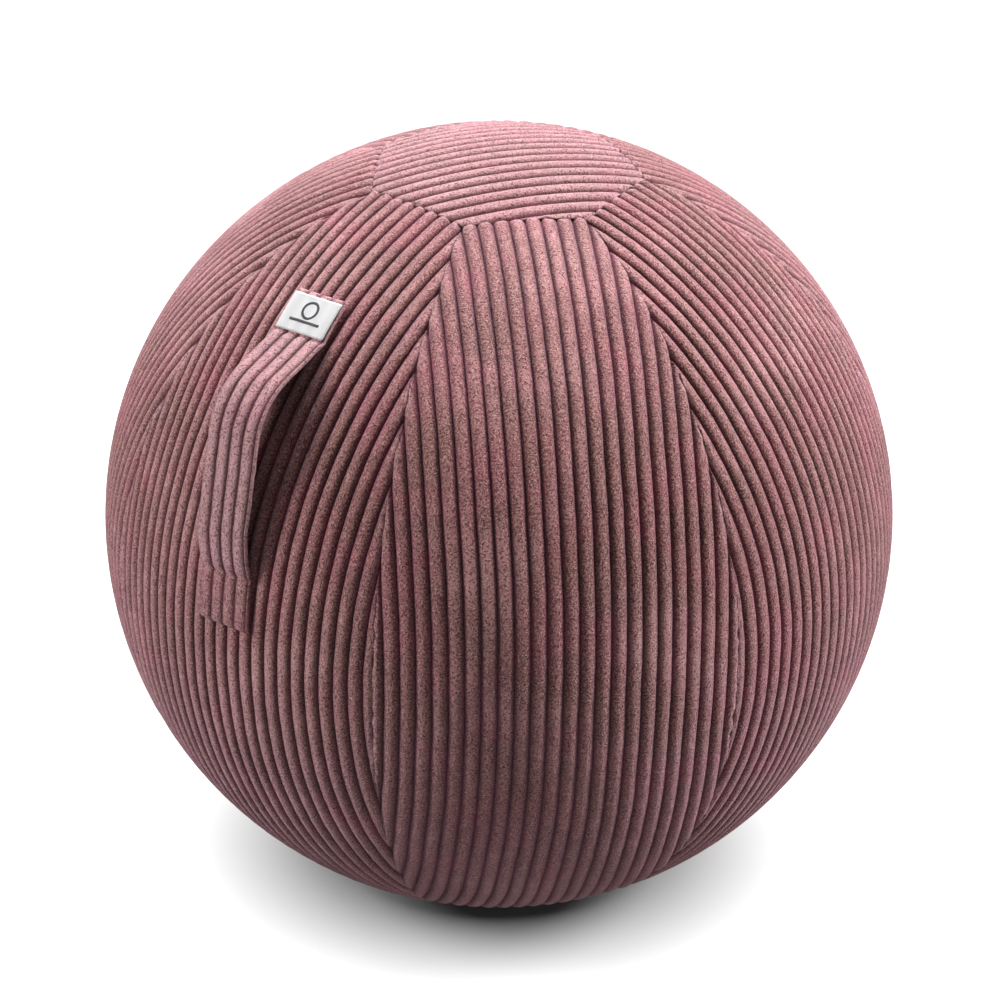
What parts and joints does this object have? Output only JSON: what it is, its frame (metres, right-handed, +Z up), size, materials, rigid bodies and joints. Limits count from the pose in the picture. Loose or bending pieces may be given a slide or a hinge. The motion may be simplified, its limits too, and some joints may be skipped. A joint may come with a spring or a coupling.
{
  "type": "exercise ball",
  "caption": "Inflatable sitting ball in a wide-ribbed corduroy cover with a sewn carry strap, a blank woven label, a zipped base seam and a weighted foot.",
  "frame": {"origin": "middle of the flat foot, on the floor", "axes": "+Z up from the floor, -Y towards the side with the carry strap"},
  "size_m": [0.6498, 0.6537, 0.64],
  "materials": {
    "cover_cord": "matte",
    "base_cloth": "matte",
    "ring_sand": "matte",
    "ring_cloth": "matte",
    "bladder_vinyl": "satin",
    "valve_vinyl": "satin",
    "zip_tape": "matte",
    "zip_teeth": "satin",
    "zip_metal": "satin",
    "strap_lining": "matte",
    "strap_webbing": "matte",
    "label_cloth": "satin"
  },
  "bodies": {
    "ball": {"top_panel": "cover_cord", "side_gore_1": "cover_cord", "side_gore_2": "cover_cord", "side_gore_3": "cover_cord", "side_gore_4": "cover_cord", "side_gore_5": "cover_cord", "side_gore_6": "cover_cord", "side_gore_7": "cover_cord", "base_panel": "base_cloth", "weight_ring_filling": "ring_sand", "weight_ring_sleeve": "ring_cloth", "bladder": "bladder_vinyl", "valve_seat": "valve_vinyl", "zip_tape_outer": "zip_tape", "zip_tape_inner": "zip_tape", "zip_teeth_outer": "zip_teeth", "zip_teeth_inner": "zip_teeth", "zip_top_stops": "zip_metal", "zip_bottom_stop": "zip_metal", "handle_upper_end": "cover_cord", "handle_lower_end": "cover_cord", "label": "label_cloth"},
    "zip_slider": {"zip_slider": "zip_metal"},
    "zip_pull": {"zip_pull": "zip_metal"},
    "valve_plug": {"valve_plug": "valve_vinyl"},
    "handle": {"handle_strap": "cover_cord", "handle_webbing": "strap_webbing", "handle_lining": "strap_lining"}
  },
  "joints": [
    {"name": "zip_run", "type": "hinge", "parent": "ball", "child": "zip_slider", "pos_m": [0, 0, 0.0257], "axis": [0, 0, -1], "range_deg": [0, 196]},
    {"name": "pull_swing", "type": "hinge", "parent": "zip_slider", "child": "zip_pull", "pos_m": [-0.15241, -0.02062, 0.02575], "axis": [-0.875, -0.1184, 0.4695], "range_deg": [-85, 85]},
    {"name": "valve_plug_pull", "type": "slide", "parent": "ball", "child": "valve_plug", "axis": [0, 0, -1], "range_m": [0, 0.008]},
    {"name": "handle_swing", "type": "hinge", "parent": "ball", "child": "handle", "pos_m": [0.00377, -0.27021, 0.46852], "axis": [-0.061, 0.4924, 0.8682], "range_deg": [-15, 15], "stiffness_Nm_per_rad": 0.05}
  ]
}
